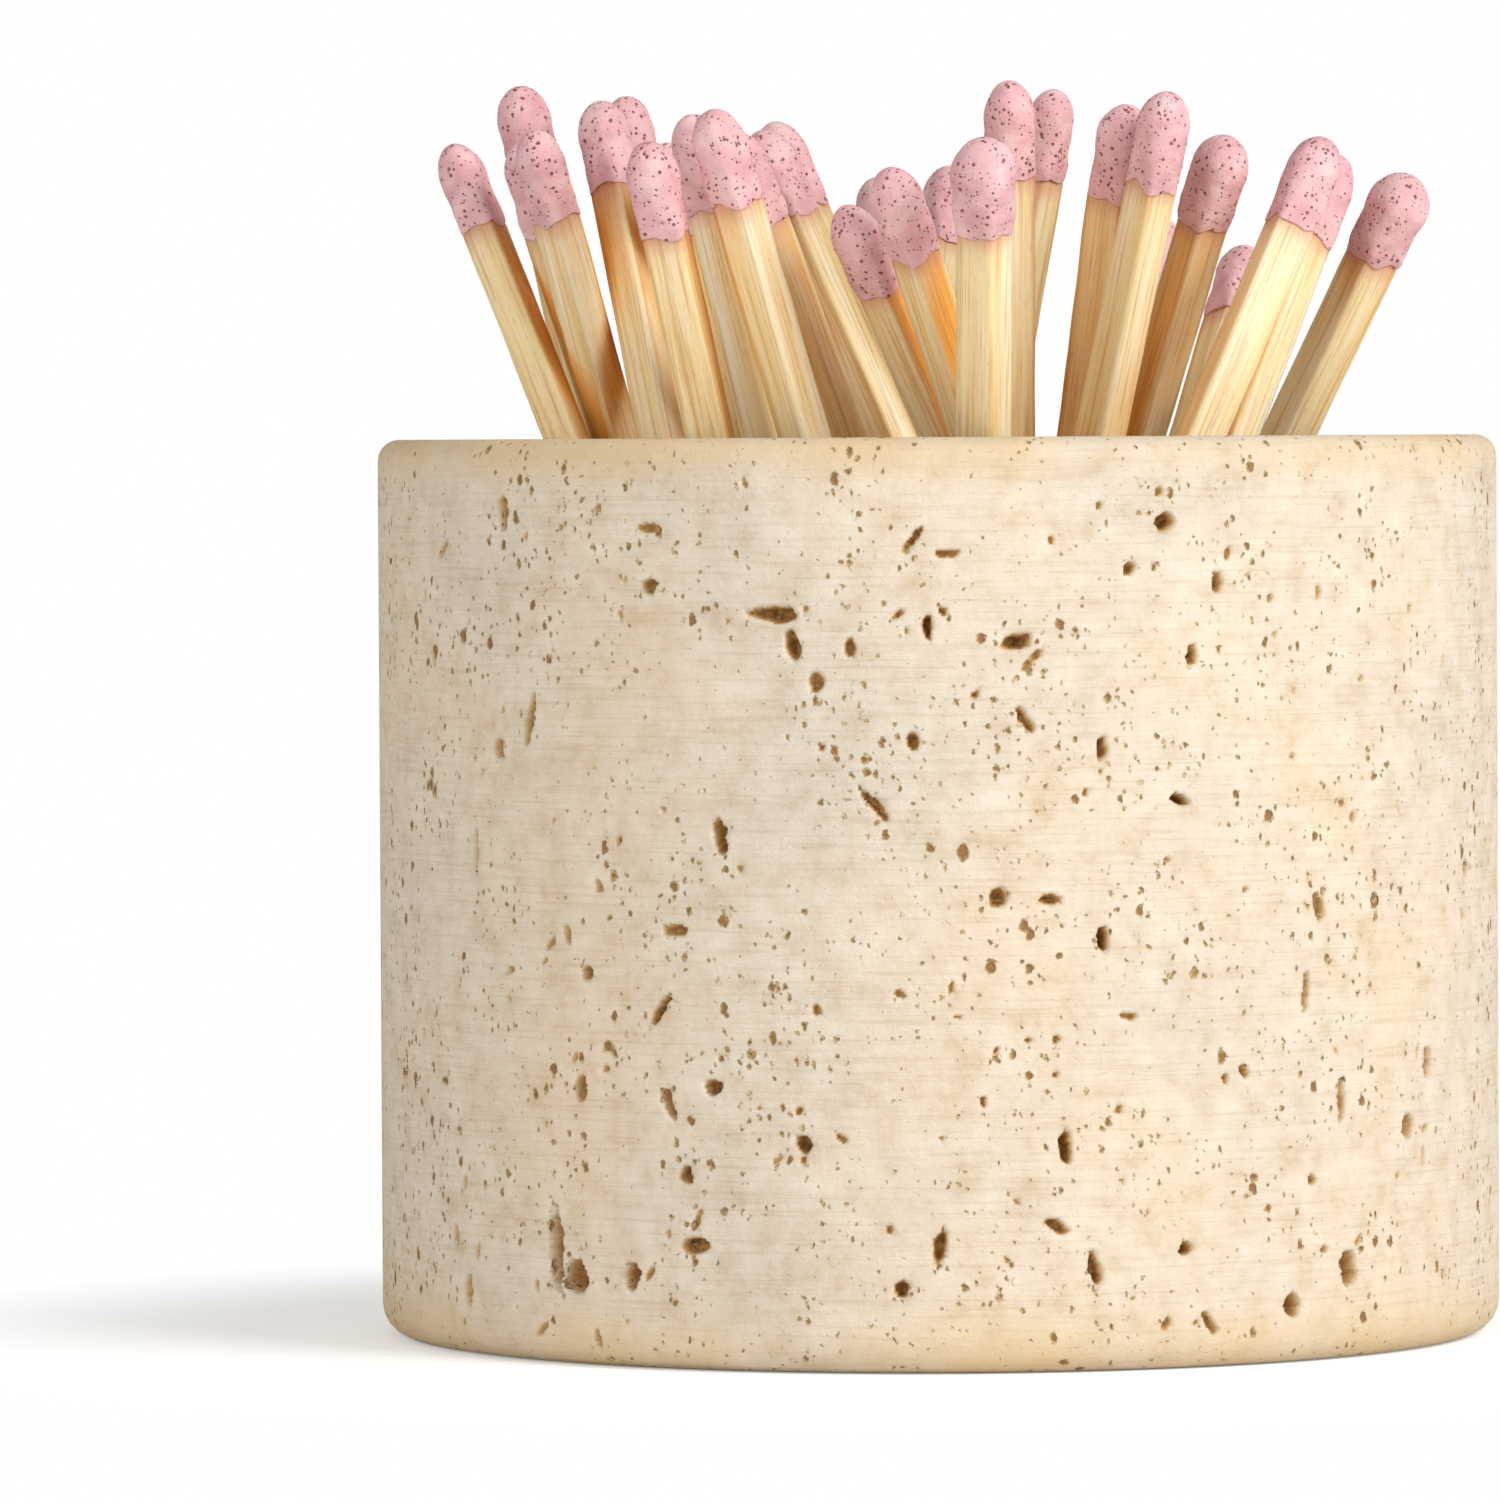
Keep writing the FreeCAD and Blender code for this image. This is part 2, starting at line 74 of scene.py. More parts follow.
# The pits that the solid cup has too: degrees round from the front, height, length, width,
# depth, lean of the length from upright
MAIN_PITS = [
    (-51, 48.9, 2.2, 0.8, 1.1, 8),
    (-31, 48.0, 1.7, 0.6, 0.7, 90),
    (-31, 44.7, 1.0, 0.9, 1.0, 0),
    (-17, 43.1, 3.2, 1.0, 1.3, 90),
    (-15, 41.3, 2.0, 0.9, 1.1, 14),
    (-12.5, 39.2, 1.2, 1.0, 0.8, 0),
    (-9, 41.2, 1.3, 0.7, 0.8, 0),
    (-1, 42.4, 1.5, 0.6, 1.1, 0),
    (-2.5, 47.3, 1.9, 0.5, 0.8, -40),
    (1, 46.5, 1.7, 0.5, 0.7, 90),
    (-2.5, 35.9, 1.2, 0.9, 0.9, 0),
    (-6.5, 32.3, 2.6, 0.6, 0.8, 42),
    (-47, 36.9, 3.4, 0.6, 1.0, -12),
    (-52, 35.3, 1.1, 1.0, 0.9, 0),
    (-78, 44.7, 5.0, 0.5, 0.8, 4),
    (-23, 30.5, 2.3, 0.8, 1.1, 6),
    (-56, 29.4, 2.7, 0.4, 0.8, 0),
    (-28, 25.1, 1.6, 0.8, 0.9, 90),
    (24, 48.2, 1.3, 1.2, 1.2, 0),
    (20, 45.6, 0.8, 0.8, 0.9, 0),
    (30, 44.7, 1.2, 0.7, 1.0, 0),
    (8, 41.5, 2.1, 1.0, 1.2, 98),
    (27, 40.6, 1.3, 0.7, 1.0, 0),
    (9, 37.0, 1.9, 0.6, 0.7, 36),
    (17, 35.4, 1.6, 0.7, 0.9, 0),
    (25.5, 32.5, 1.3, 0.6, 1.4, 70),
    (6, 27.0, 1.2, 1.0, 1.0, 0),
    (11.5, 26.9, 1.5, 0.6, 0.9, 90),
    (17, 24.7, 1.4, 0.8, 1.2, 0),
    (43, 26.0, 1.4, 0.7, 1.0, 0),
    (71, 27.8, 1.0, 1.0, 0.9, 0),
    (-39, 22.6, 0.9, 0.8, 1.0, 0),
    (-30, 20.5, 2.4, 0.6, 1.1, -34),
    (-40, 16.0, 1.7, 0.9, 1.0, 0),
    (-29, 15.3, 2.4, 0.6, 0.8, 24),
    (-24, 16.2, 1.1, 1.1, 1.1, 0),
    (-14, 13.1, 1.1, 1.0, 1.1, 0),
    (-27, 11.2, 1.1, 0.9, 1.1, 0),
    (-43.5, 6.7, 4.8, 1.1, 2.6, 3),
    (-40.5, 5.0, 2.0, 1.8, 1.7, 0),
    (-33.5, 5.3, 1.6, 1.0, 1.5, 0),
    (-58, 3.9, 2.1, 0.8, 1.1, 0),
    (-26, 7.2, 2.0, 1.2, 1.0, 90),
    (0, 7.3, 2.4, 0.8, 1.0, -10),
    (-4, 4.9, 1.1, 0.9, 1.1, 0),
    (41, 21.3, 2.5, 0.5, 0.9, -4),
    (61, 16.8, 1.9, 0.9, 1.1, 0),
    (13, 12.9, 2.0, 0.8, 1.2, 4),
    (46, 15.0, 2.8, 0.6, 0.9, 0),
    (57, 13.2, 1.5, 1.2, 1.1, 0),
    (12, 8.4, 1.7, 0.7, 0.9, 60),
    (16, 5.9, 2.4, 0.7, 1.0, 10),
    (26, 6.9, 0.9, 0.8, 1.1, 0),
    (47, 5.3, 2.2, 1.4, 1.2, 0),
    (39, 3.4, 1.4, 1.2, 1.3, 0),
]
# The unseen back has every fourth of them again, upside down
BACK_EVERY = 4
BACK_TURN = 180

# The pits' angles and heights were measured at the scale of the cup's axis; its front lies
# nearer to the eye and looks larger, so both are brought down by this share
PIT_SCALE = 0.957

# Small pits strewn over the wall, the rim and the bore: how many, how wide, and how much
# longer than wide
WALL_PITS = 330
RIM_PITS = 46
BORE_PITS = 60
WALL_PIT_WIDE = (0.22, 0.62)
RIM_PIT_WIDE = (0.3, 0.9)
BORE_PIT_WIDE = (0.5, 1.2)
WALL_PIT_STRETCH = (1.0, 1.1, 1.3, 1.8, 2.6)
RIM_PIT_STRETCH = (1.0, 1.4, 2.2)
BORE_PIT_STRETCH = (1.0, 1.5, 2.4)
PIT_LEAN_SPREAD = 35
PIT_SEED = 11

# A pit's slope: the share of its half width over which it reaches its full depth, and how
# ragged its edge is, in a coarse and a fine measure
PIT_SLOPE = 0.42
PIT_RAGGED = 0.34
PIT_RAGGED_FINE = 0.22

# A stick: cells along and across it, how much its edges and faces give way to torn fibres,
# how much it is worn inside the head, how far it bows, and how far down the head stains it
STICK_CUTS_ALONG = 54
STICK_CUTS_ACROSS = 5
EDGE_TEAR = 0.035
FACE_TEAR = 0.018
WORN_IN_HEAD = 0.34
STICK_BOW = 0.12
STAIN_REACH = 1.3

# How far off a neighbouring stick still tints the wood with painted shade
PAINTED_SHADE_REACH = 7.0

# A head: cells up and round it, how far down from the tip it is widest, the share of the ball
# that is its outside, its coat at the lower edge, its corners' powers where it is widest and
# lowest, and its lumps
HEAD_RINGS = 88
HEAD_SEGMENTS = 96
DOME_SHARE = 0.40
OUTSIDE_SHARE = 0.88
NECK_COAT = 0.07
ROUND_POWER = 2.3
SQUARE_POWER = 8.0
LARGE_LUMPS = 0.07
SMALL_LUMPS = 0.03

# The larger pores of a head
HEAD_PORES = 46
PORE_RADIUS = (0.08, 0.15)
PORE_DEPTH = 0.14

# The photograph's camera: far off with a long lens, at the height of the rim. Its pixels are
# those of the 1500 by 1500 frame
CAMERA_AWAY = 635.0
FOCAL_PIXELS = 11166.0
FRAME_PIXELS = 1500.0
SENSOR = 36.0
RIM_ROW = 438.0
AXIS_COLUMN = 938.0
ROLL_DEGREES = -0.3

# Light: the two lamps' power in watts, and the even light of the room
KEY_POWER = 2.45
FILL_POWER = 0.85
LAMP_SIZE = 300
ROOM_LIGHT = 0.42

# The floor near the cup is lifted this much towards white. It fades to plain white between
# the first and the second distance from the axis
FLOOR_LIFT = 0.3
SHADOW_ENDS = (38.0, 68.0)


def srgb(text):
    """A hex colour as linear numbers with alpha."""
    parts = [int(text[place:place + 2], 16) / 255 for place in (1, 3, 5)]
    linear = [part / 12.92 if part <= 0.04045 else ((part + 0.055) / 1.055) ** 2.4 for part in parts]
    return (*linear, 1.0)


def add(tree, kind, inputs=None, stops=(), **settings):
    """A node with its settings, its inputs set or linked, and a ramp's colours in place."""
    node = tree.nodes.new(kind)
    for name, value in settings.items():
        setattr(node, name, value)
    for name, value in (inputs or {}).items():
        if isinstance(value, bpy.types.Node):
            value = next(socket for socket in value.outputs if socket.enabled)
        if isinstance(value, bpy.types.NodeSocket):
            tree.links.new(value, node.inputs[name])
        else:
            node.inputs[name].default_value = value
    for number, (place, colour) in enumerate(stops):
        elements = node.color_ramp.elements
        element = elements[number] if number < len(elements) else elements.new(place)
        element.position = place
        element.color = srgb(colour)
    return node


def new_material(name):
    """An empty node material and its tree."""
    material = bpy.data.materials.new(name)
    material.use_nodes = True
    material.node_tree.nodes.clear()
    return material, material.node_tree


# Short names for the settings of nodes that are used often
MATH = "ShaderNodeMath"
RANGE = "ShaderNodeMapRange"
MIX = "ShaderNodeMix"
NOISE = "ShaderNodeTexNoise"
RAMP = "ShaderNodeValToRGB"
CELLS = "ShaderNodeTexVoronoi"
SMOOTH = {"interpolation_type": "SMOOTHSTEP"}
TINT = {"data_type": "RGBA", "blend_type": "MULTIPLY"}
BLEND = {"data_type": "RGBA", "blend_type": "MIX"}
MULTIPLY = {"operation": "MULTIPLY"}
SUM = {"operation": "ADD"}


def travertine():
    """Honed, unfilled travertine: cream lime stone laid down by springs.

    It is dense and matt, mottled in cream, grey and rose, and open with ochre-lined holes;
    the turning and sanding leave fine level lines all round it.
    """
    material, tree = new_material("travertine_honed")
    metres = add(tree, "ShaderNodeTexCoord").outputs["Object"]
    place = add(tree, "ShaderNodeVectorMath", {0: metres, "Scale": 1 / MM}, operation="SCALE").outputs[0]
    # Clouds about 14 mm wide, and mottling about 2 mm wide
    clouds = add(tree, NOISE, {"Vector": place, "Scale": 0.07, "Detail": 3.0})
    mottle = add(tree, NOISE, {"Vector": place, "Scale": 0.5, "Detail": 6.0, "Roughness": 0.65})
    ground = add(tree, RAMP, {"Fac": clouds}, [(0.3, "#CCC0AE"), (0.5, "#DDCDB6"), (0.7, "#E3CBA8")])
    spots = add(tree, RAMP, {"Fac": mottle}, [(0.3, "#C3A985"), (0.46, "#DACBB5"), (0.68, "#ECE2D2")])
    colour = add(tree, MIX, {0: 0.5, 6: ground, 7: spots}, **BLEND)
    # Sanding lines: level, about 0.2 mm apart and 7 mm long
    level = add(tree, "ShaderNodeMapping", {"Vector": place, "Scale": (0.14, 0.14, 5.0)})
    lines = add(tree, NOISE, {"Vector": level, "Scale": 1.0, "Detail": 4.0, "Roughness": 0.7})
    line_tint = add(tree, RAMP, {"Fac": lines}, [(0.34, "#DCCFB9"), (0.5, "#FFFFFF")])
    colour = add(tree, MIX, {0: 0.35, 6: colour, 7: line_tint}, **TINT)
    # Ochre bands, 3 mm at the rim and 4 mm at the base
    height = add(tree, "ShaderNodeSeparateXYZ", {0: place}).outputs["Z"]
    top_band = add(tree, RANGE, {0: height, 1: CUP_HEIGHT - 3.2, 2: CUP_HEIGHT - 0.6}, **SMOOTH)
    base_band = add(tree, RANGE, {0: height, 1: 4.5, 2: 0.5}, **SMOOTH)
    band = add(tree, MATH, {0: top_band, 1: base_band}, operation="MAXIMUM")
    patchy = add(tree, RANGE, {0: clouds, 1: 0.35, 2: 0.6, 3: 0.25, 4: 0.75}, **SMOOTH)
    band = add(tree, MATH, {0: band, 1: patchy}, **MULTIPLY)
    colour = add(tree, MIX, {0: band, 6: colour, 7: srgb("#D9BC8C")}, **BLEND)
    # Pinholes 0.1 to 0.7 mm wide in three sizes, thicker in some places than in others
    warp = add(tree, NOISE, {"Vector": place, "Scale": 2.6, "Detail": 3.0}).outputs["Color"]
    shift = add(tree, "ShaderNodeVectorMath", {0: warp, "Scale": 0.55}, operation="SCALE")
    bent = add(tree, "ShaderNodeVectorMath", {0: place, 1: shift}, operation="ADD")
    upright = add(tree, "ShaderNodeMapping", {"Vector": bent, "Scale": (1.0, 1.0, 0.7)})
    crowd = add(tree, NOISE, {"Vector": place, "Scale": 0.16, "Detail": 3.0})
    hole = None
    for per_mm, fewest, most in ((0.62, 0.0, 0.18), (1.15, 0.05, 0.27), (2.3, 0.14, 0.30)):
        cells = add(tree, CELLS, {"Vector": upright, "Scale": per_mm, "Randomness": 1.0})
        reach = add(tree, RANGE, {0: crowd, 1: 0.36, 2: 0.62, 3: fewest, 4: most}, **SMOOTH)
        chance = add(tree, "ShaderNodeSeparateColor", {0: cells.outputs["Color"]})
        size = add(tree, RANGE, {0: chance, 1: 0.25, 2: 1.0, 3: 0.1, 4: 1.3})
        reach = add(tree, MATH, {0: reach, 1: size}, **MULTIPLY)
        edge = add(tree, MATH, {0: reach, 1: cells}, operation="SUBTRACT")
        dent = add(tree, RANGE, {0: edge, 1: -0.03 * per_mm, 2: 0.16 * per_mm}, **SMOOTH)
        hole = add(tree, MATH, {0: hole, 1: dent}, operation="MAXIMUM") if hole else dent
    hole_colour = add(tree, RAMP, {"Fac": hole}, [(0.0, "#DCC8A2"), (0.5, "#C6A268"), (1.0, "#94683A")])
    hole_tint = add(tree, RANGE, {0: hole, 1: 0.03, 2: 0.3}, **SMOOTH)
    colour = add(tree, MIX, {0: hole_tint, 6: colour, 7: hole_colour}, **BLEND)
    # The pits that are cut into the mesh, ochre at their lips and brown inside
    depth = add(tree, "ShaderNodeAttribute", attribute_name="pit_depth").outputs["Fac"]
    lining = add(tree, RAMP, {"Fac": depth},
                 [(0.0, "#DFC8A0"), (0.4, "#C9A369"), (0.8, "#A2763F"), (1.0, "#75502A")])
    inside = add(tree, RANGE, {0: depth, 1: 0.02, 2: 0.3}, **SMOOTH)
    colour = add(tree, MIX, {0: inside, 6: colour, 7: lining}, **BLEND)
    # Relief: pinholes, sanding lines and grains about 0.3 mm wide
    grain = add(tree, NOISE, {"Vector": place, "Scale": 3.0, "Detail": 5.0, "Roughness": 0.7})
    relief = add(tree, MATH, {0: hole, 1: -0.22}, **MULTIPLY)
    for texture, height_share in ((lines, 0.02), (grain, 0.07)):
        raised = add(tree, MATH, {0: texture, 1: height_share}, **MULTIPLY)
        relief = add(tree, MATH, {0: relief, 1: raised}, **SUM)
    bump = add(tree, "ShaderNodeBump", {"Height": relief, "Strength": 1.0, "Distance": MM})
    rough = add(tree, RANGE, {0: mottle, 1: 0.3, 2: 0.7, 3: 0.86, 4: 0.7})
    shader = add(tree, "ShaderNodeBsdfPrincipled", {
        "Base Color": colour, "Roughness": rough, "IOR": 1.5, "Normal": bump,
    })
    add(tree, "ShaderNodeOutputMaterial", {"Surface": shader})
    return material


def split_wood():
    """Raw aspen splint, peeled and split: pale, straight grained, dull and slightly furry."""
    material, tree = new_material("aspen_split")
    place = add(tree, "ShaderNodeAttribute", attribute_name="grain_place").outputs["Vector"]
    # Fibres 0.2 mm wide, streaks about 1 mm wide, and flecks 0.1 mm wide and 0.6 mm long
    fine = add(tree, "ShaderNodeMapping", {"Vector": place, "Scale": (5.0, 5.0, 0.12)})
    fibres = add(tree, NOISE, {"Vector": fine, "Scale": 1.0, "Detail": 4.0, "Roughness": 0.65})
    broad = add(tree, "ShaderNodeMapping", {"Vector": place, "Scale": (1.1, 1.1, 0.05)})
    streaks = add(tree, NOISE, {"Vector": broad, "Scale": 1.0, "Detail": 3.0})
    short = add(tree, "ShaderNodeMapping", {"Vector": place, "Scale": (9.0, 9.0, 1.6)})
    flecks = add(tree, NOISE, {"Vector": short, "Scale": 1.0, "Detail": 2.0})
    colour = add(tree, RAMP, {"Fac": streaks}, [(0.3, "#F0D292"), (0.5, "#F9E3B2"), (0.7, "#FDF0D2")])
    fibre_tint = add(tree, RAMP, {"Fac": fibres}, [(0.36, "#CC9C57"), (0.5, "#FFFFFF")])
    colour = add(tree, MIX, {0: 0.5, 6: colour, 7: fibre_tint}, **TINT)
    fleck_tint = add(tree, RANGE, {0: flecks, 1: 0.62, 2: 0.72, 3: 0.0, 4: 0.25}, **SMOOTH)
    colour = add(tree, MIX, {0: fleck_tint, 6: colour, 7: srgb("#B98548")}, **BLEND)
    # Painted shade and bounce light: deep gold where a stick faces the others, in place of the shade
    # between them and the light that has gone through the wood beside them
    crowd = add(tree, "ShaderNodeAttribute", attribute_name="painted_between_shade").outputs["Fac"]
    painted_gold = add(tree, MATH, {0: crowd, 1: 0.95}, **MULTIPLY)
    colour = add(tree, MIX, {0: painted_gold, 6: colour, 7: srgb("#F2BE60")}, **TINT)
    # The stain that the head leaves at its lower edge
    stain = add(tree, "ShaderNodeAttribute", attribute_name="head_stain").outputs["Fac"]
    stain_tint = add(tree, MATH, {0: stain, 1: 0.7}, **MULTIPLY)
    colour = add(tree, MIX, {0: stain_tint, 6: colour, 7: srgb("#C97F62")}, **BLEND)
    relief = add(tree, MATH, {0: fibres, 1: 0.09}, **MULTIPLY)
    raised = add(tree, MATH, {0: flecks, 1: 0.03}, **MULTIPLY)
    relief = add(tree, MATH, {0: relief, 1: raised}, **SUM)
    bump = add(tree, "ShaderNodeBump", {"Height": relief, "Strength": 0.8, "Distance": MM})
    shader = add(tree, "ShaderNodeBsdfPrincipled", {
        "Base Color": colour, "Roughness": 0.62, "IOR": 1.5, "Normal": bump,
        "Subsurface Weight": 0.25, "Subsurface Radius": (1.0, 0.5, 0.2), "Subsurface Scale": 0.0012,
    })
    add(tree, "ShaderNodeOutputMaterial", {"Surface": shader})
    return material


def head_paste():
    """Dipped match head: a dried pink paste, chalky and matt, and open with gas pores."""
    material, tree = new_material("match_paste_pink")
    place = add(tree, "ShaderNodeAttribute", attribute_name="grain_place").outputs["Vector"]
    clouds = add(tree, NOISE, {"Vector": place, "Scale": 0.7, "Detail": 3.0})
    colour = add(tree, RAMP, {"Fac": clouds}, [(0.3, "#D6A0A4"), (0.5, "#E2B0B2"), (0.72, "#EBC3C2")])
    # Pores 0.08 to 0.2 mm wide, in two sizes, dark red inside
    dents = []
    for scale, smallest, largest in ((2.4, 0.06, 0.27), (4.2, 0.02, 0.25)):
        cells = add(tree, CELLS, {"Vector": place, "Scale": scale, "Randomness": 1.0})
        chance = add(tree, "ShaderNodeSeparateColor", {0: cells.outputs["Color"]})
        reach = add(tree, RANGE, {0: chance, 1: 0.25, 2: 1.0, 3: smallest, 4: largest}, **SMOOTH)
        edge = add(tree, MATH, {0: reach, 1: cells}, operation="SUBTRACT")
        dents.append(add(tree, RANGE, {0: edge, 1: -0.03, 2: 0.08}, **SMOOTH))
    pores = add(tree, MATH, {0: dents[0], 1: dents[1]}, operation="MAXIMUM")
    large = add(tree, "ShaderNodeAttribute", attribute_name="pore_depth").outputs["Fac"]
    large_dark = add(tree, RANGE, {0: large, 1: 0.1, 2: 0.8}, **SMOOTH)
    small_dark = add(tree, MATH, {0: pores, 1: 0.85}, **MULTIPLY)
    dark = add(tree, MATH, {0: small_dark, 1: large_dark}, operation="MAXIMUM")
    colour = add(tree, MIX, {0: dark, 6: colour, 7: srgb("#7E3A44")}, **BLEND)
    grain = add(tree, NOISE, {"Vector": place, "Scale": 6.0, "Detail": 4.0})
    relief = add(tree, MATH, {0: pores, 1: -0.11}, **MULTIPLY)
    raised = add(tree, MATH, {0: grain, 1: 0.05}, **MULTIPLY)
    relief = add(tree, MATH, {0: relief, 1: raised}, **SUM)
    bump = add(tree, "ShaderNodeBump", {"Height": relief, "Strength": 1.0, "Distance": MM})
    shader = add(tree, "ShaderNodeBsdfPrincipled", {
        "Base Color": colour, "Roughness": 0.8, "IOR": 1.5, "Normal": bump,
    })
    add(tree, "ShaderNodeOutputMaterial", {"Surface": shader})
    return material


def finish_piece(name, mesh_edit, material, node, attributes):
    """Make an object from an edited mesh, with values at its points, in place of its CAD node."""
    bmesh.ops.recalc_face_normals(mesh_edit, faces=mesh_edit.faces)
    bmesh.ops.scale(mesh_edit, vec=(MM, MM, MM), verts=mesh_edit.verts)
    for face in mesh_edit.faces:
        face.smooth = True
    mesh = bpy.data.meshes.new(name)
    mesh_edit.to_mesh(mesh)
    mesh_edit.free()
    for label, values in attributes.items():
        kind, entry = ("FLOAT_VECTOR", "vector") if values.ndim == 2 else ("FLOAT", "value")
        layer = mesh.attributes.new(label, kind, "POINT")
        layer.data.foreach_set(entry, values.astype(np.float32).ravel())
    mesh.materials.append(material)
    piece = bpy.data.objects.new(name, mesh)
    bpy.context.scene.collection.objects.link(piece)
    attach(piece, "root")
    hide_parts(node)


def arc(centre, radius, start, end, steps):
    """Points of an arc in the plane of radius and height, angles in degrees."""
    points = []
    for step in range(steps + 1):
        angle = math.radians(start + (end - start) * step / steps)
        points.append((centre[0] + radius * math.cos(angle), centre[1] + radius * math.sin(angle)))
    return points


def run(start, end, step):
    """Evenly spaced points from start to end, both ends left out."""
    count = max(1, round(math.dist(start, end) / step))
    return [
        (start[0] + (end[0] - start[0]) * part / count, start[1] + (end[1] - start[1]) * part / count)
        for part in range(1, count)
    ]


def cup_profile():
    """Half of the cup's section, from the middle of the base round to the middle of the bore."""
    base = arc((CUP_RADIUS - BASE_ROUND, BASE_ROUND), BASE_ROUND, -90, 0, 5)
    rim = arc((CUP_RADIUS - RIM_ROUND, CUP_HEIGHT - RIM_ROUND), RIM_ROUND, 0, 90, 5)
    mouth = arc((BORE_RADIUS + MOUTH_ROUND, CUP_HEIGHT - MOUTH_ROUND), MOUTH_ROUND, 90, 180, 4)
    foot = arc((BORE_RADIUS - BORE_ROUND, FLOOR + BORE_ROUND), BORE_ROUND, 0, -90, 4)
    middle = (0.0, 0.0)
    bottom = (0.0, FLOOR)
    return [
        middle, *run(middle, base[0], FLAT_STEP), *base, *run(base[-1], rim[0], WALL_STEP), *rim,
        *run(rim[-1], mouth[0], RIM_STEP), *mouth, *run(mouth[-1], foot[0], BORE_STEP), *foot,
        *run(foot[-1], bottom, FLAT_STEP), bottom,
    ]


class Pit:
    """A hollow in the stone: its middle, its directions and its half sizes."""

    def __init__(self, middle, inward, upright, length, width, depth, lean, seed):
        across = upright.cross(inward).normalized()
        angle = math.radians(lean)
        self.middle = middle
        self.inward = inward
        self.long_way = (upright * math.cos(angle) + across * math.sin(angle)).normalized()
        self.wide_way = self.long_way.cross(inward).normalized()
        self.half_long = length / 2
        self.half_wide = width / 2
        self.depth = depth
        self.seed = seed

    def nearness(self, points):
        """How far out each point lies, 1 being on the pit's edge, and which points count."""
        offset = points - np.array(self.middle)
        along = offset @ np.array(self.long_way)
        across = offset @ np.array(self.wide_way)
        inward = offset @ np.array(self.inward)
        out = np.hypot(along / self.half_long, across / self.half_wide)
        out[np.abs(inward) > 2.0] = 99.0
        return out, along, across


def wall_pit(around, up, length, width, depth, lean, seed, radius=None, inside=False):
    """A pit in the outside wall, or in the bore's wall."""
    turn = math.radians(around)
    out = Vector((math.sin(turn), -math.cos(turn), 0))
    middle = out * (radius or CUP_RADIUS) + Vector((0, 0, up))
    inward = out if inside else -out
    return Pit(middle, inward, Vector((0, 0, 1)), length, width, depth, lean, seed)


def all_pits():
    """The main pits, the same on the unseen back, and the small ones."""
    pits = []
    for number, (around, up, length, width, depth, lean) in enumerate(MAIN_PITS):
        around, up = around * PIT_SCALE, up * PIT_SCALE
        pits.append(wall_pit(around, up, length, width, depth, lean, number))
        if number % BACK_EVERY == 0:
            around, up = around + BACK_TURN, CUP_HEIGHT - up
            pits.append(wall_pit(around, up, length, width, depth, -lean, 100 + number))
    chance = random.Random(PIT_SEED)
    for number in range(WALL_PITS):
        around = chance.uniform(0, 360)
        up = chance.uniform(0.8, CUP_HEIGHT - 0.6)
        width = chance.uniform(*WALL_PIT_WIDE) * chance.uniform(0.7, 1.3)
        length = width * chance.choice(WALL_PIT_STRETCH)
        lean = chance.gauss(0, PIT_LEAN_SPREAD)
        # On the seen front the widest are drawn in, so that the main pits stand out
        if not 90 < around < 270 and width > 0.5:
            width *= 0.8
        pits.append(wall_pit(around, up, length, width, width * 1.1, lean, 200 + number))
    for number in range(RIM_PITS):
        turn = chance.uniform(0, 2 * math.pi)
        radius = chance.uniform(BORE_RADIUS + 1.2, CUP_RADIUS - 1.4)
        middle = Vector((radius * math.sin(turn), radius * math.cos(turn), CUP_HEIGHT))
        width = chance.uniform(*RIM_PIT_WIDE)
        length = width * chance.choice(RIM_PIT_STRETCH)
        upright = Vector((math.sin(turn), math.cos(turn), 0))
        lean = chance.uniform(0, 180)
        pits.append(Pit(middle, Vector((0, 0, -1)), upright, length, width, width, lean, 700 + number))
    for number in range(BORE_PITS):
        around = chance.uniform(0, 360)
        up = chance.uniform(FLOOR + 4, CUP_HEIGHT - 1.5)
        width = chance.uniform(*BORE_PIT_WIDE)
        length = width * chance.choice(BORE_PIT_STRETCH)
        lean = chance.gauss(0, PIT_LEAN_SPREAD)
        pit = wall_pit(around, up, length, width, width * 0.8, lean, 800 + number, BORE_RADIUS, True)
        pits.append(pit)
    return pits


def coordinates(mesh_edit):
    """The points of an edited mesh, one in each row."""
    return np.array([vertex.co for vertex in mesh_edit.verts])


def refine_near(mesh_edit, pits, reach, longest):
    """Halve the edges near the pits that are longer than longest."""
    middles = np.array([(edge.verts[0].co + edge.verts[1].co) / 2 for edge in mesh_edit.edges])
    lengths = np.array([edge.calc_length() for edge in mesh_edit.edges])
    near = np.zeros(len(middles), bool)
    for pit in pits:
        out, along, across = pit.nearness(middles)
        margin = reach / pit.half_wide
        inside = (out < 1.0 + margin) & (np.abs(along) < pit.half_long + reach)
        near |= inside & (np.abs(across) < pit.half_wide + reach)
    picked = near & (lengths > longest)
    edges = [edge for edge, wanted in zip(mesh_edit.edges, picked) if wanted]
    bmesh.ops.subdivide_edges(mesh_edit, edges=edges, cuts=1, use_grid_fill=True)
    bmesh.ops.triangulate(mesh_edit, faces=[face for face in mesh_edit.faces if len(face.verts) > 4])


